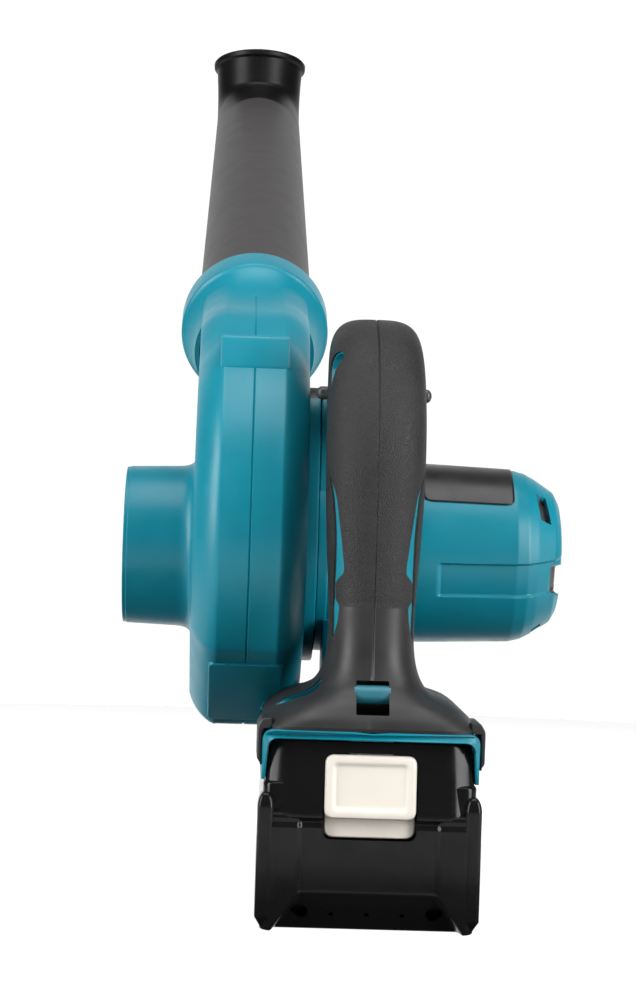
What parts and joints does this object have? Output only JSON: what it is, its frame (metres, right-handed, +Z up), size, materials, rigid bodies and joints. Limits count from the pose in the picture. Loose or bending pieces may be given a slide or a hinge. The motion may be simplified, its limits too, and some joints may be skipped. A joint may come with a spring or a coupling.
{
  "type": "leaf blower",
  "caption": "Cordless leaf blower with a scroll housing, a long nozzle with an upturned flared end, a looped soft grip and a slide-on battery that it stands on.",
  "frame": {"origin": "centre of the battery's flat base, which the blower stands on", "axes": "+Z up, +Y the way the nozzle points, +X to the motor's closed end"},
  "size_m": [0.1634, 0.517, 0.3728],
  "materials": {
    "teal_shell": "fine satin moulded ABS",
    "soft_grip": "fine-grained soft elastomer",
    "label": "blank printed foil",
    "nozzle_grey": "semi-matte moulded polypropylene",
    "battery_gloss": "polished",
    "ivory": "satin",
    "dark_plastic": "satin",
    "steel": "zinc-plated",
    "copper": "enamelled winding copper",
    "ferrite": "sintered",
    "cell_wrap": "shrink sleeve",
    "board": "solder mask",
    "wire_red": "insulation",
    "wire_black": "insulation"
  },
  "bodies": {
    "housing": {"housing_left": "teal_shell", "housing_right": "teal_shell", "grip_left": "soft_grip", "grip_right": "soft_grip", "label_plate": "label", "housing_screw_front": "steel", "housing_screw_grip": "steel", "housing_screw_neck": "steel", "housing_screw_rear": "steel", "housing_screw_top": "steel", "switch_body": "dark_plastic", "terminal_block": "dark_plastic", "lead_positive": "wire_red", "lead_negative": "wire_black", "motor_can": "steel", "magnet_upper": "ferrite", "magnet_lower": "ferrite", "brush_bracket": "dark_plastic", "brush_upper": "ferrite", "brush_lower": "ferrite", "front_bearing": "steel", "rear_bearing": "steel", "volute_left": "teal_shell", "volute_right": "teal_shell", "inlet_grille": "dark_plastic", "volute_screw_front": "steel", "volute_screw_rear": "steel", "volute_screw_tongue": "steel", "trigger_spring": "steel"},
    "rotor": {"armature": "copper", "commutator": "copper", "cooling_fan": "dark_plastic", "impeller": "dark_plastic", "motor_shaft": "steel", "impeller_washer": "steel", "impeller_nut": "steel"},
    "trigger": {"trigger": "dark_plastic"},
    "lock_button": {"lock_button": "dark_plastic"},
    "nozzle": {"nozzle": "nozzle_grey"},
    "battery": {"battery_lower_case": "battery_gloss", "battery_upper_case": "battery_gloss", "cell_01": "cell_wrap", "cell_02": "cell_wrap", "cell_03": "cell_wrap", "cell_04": "cell_wrap", "cell_05": "cell_wrap", "cell_06": "cell_wrap", "cell_07": "cell_wrap", "cell_08": "cell_wrap", "cell_09": "cell_wrap", "cell_10": "cell_wrap", "contact_board": "board", "battery_screw_1": "steel", "battery_screw_2": "steel", "battery_screw_3": "steel", "battery_screw_4": "steel"},
    "release_button": {"release_button": "ivory", "release_spring": "steel"}
  },
  "joints": [
    {"name": "rotor_spin", "type": "hinge", "parent": "housing", "child": "rotor", "pos_m": [0, 0.0625, 0.1257], "axis": [1, 0, 0], "continuous": true},
    {"name": "trigger_pull", "type": "slide", "parent": "housing", "child": "trigger", "axis": [0, -1, 0], "range_m": [0, 0.006], "stiffness_N_per_m": 600, "springref_m": -0.003, "deforming": ["trigger_spring"]},
    {"name": "lock_press", "type": "slide", "parent": "housing", "child": "lock_button", "axis": [1, 0, 0], "range_m": [-0.002, 0.002]},
    {"name": "nozzle_pull", "type": "slide", "parent": "housing", "child": "nozzle", "axis": [0, 0.9225, 0.3859], "range_m": [0, 0.06]},
    {"name": "battery_slide", "type": "slide", "parent": "housing", "child": "battery", "axis": [0, -1, 0], "range_m": [0, 0.1]},
    {"name": "release_press", "type": "slide", "parent": "battery", "child": "release_button", "axis": [0, 0, -1], "range_m": [0, 0.006], "stiffness_N_per_m": 500, "springref_m": -0.003, "deforming": ["release_spring"]}
  ]
}
